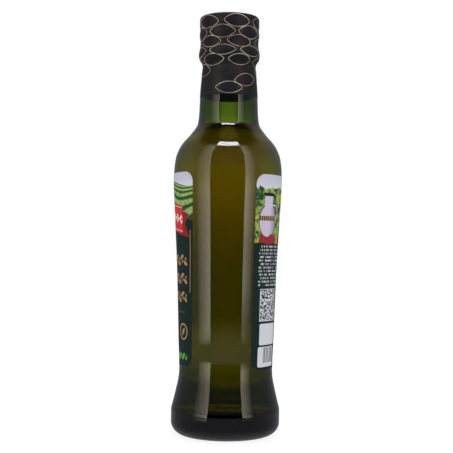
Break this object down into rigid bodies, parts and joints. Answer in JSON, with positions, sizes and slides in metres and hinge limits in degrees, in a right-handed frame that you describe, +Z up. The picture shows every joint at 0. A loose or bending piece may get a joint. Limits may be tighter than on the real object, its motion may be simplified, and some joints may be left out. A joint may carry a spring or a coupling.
{
  "type": "olive oil bottle",
  "caption": "Waisted round glass bottle with a flared foot, filled with olive oil, with a front and a back label and a black capsule.",
  "frame": {"origin": "middle of the base, on the plane that the bottle stands on", "axes": "+Z up along the bottle's axis; the middle of the front label faces -Y and the middle of the back label faces +Y"},
  "size_m": [0.0572, 0.0582, 0.2204],
  "materials": {
    "green_glass": "clear green glass, glossy",
    "olive_oil": "clear golden-green liquid",
    "black_capsule": "satin black film with thin gold outlines",
    "front_print": "satin printed film, dark green",
    "back_print": "satin printed film, dark green"
  },
  "bodies": {
    "root": {"glass_bottle": "green_glass", "oil": "olive_oil", "capsule": "black_capsule", "front_label": "front_print", "back_label": "back_print"}
  },
  "joints": []
}
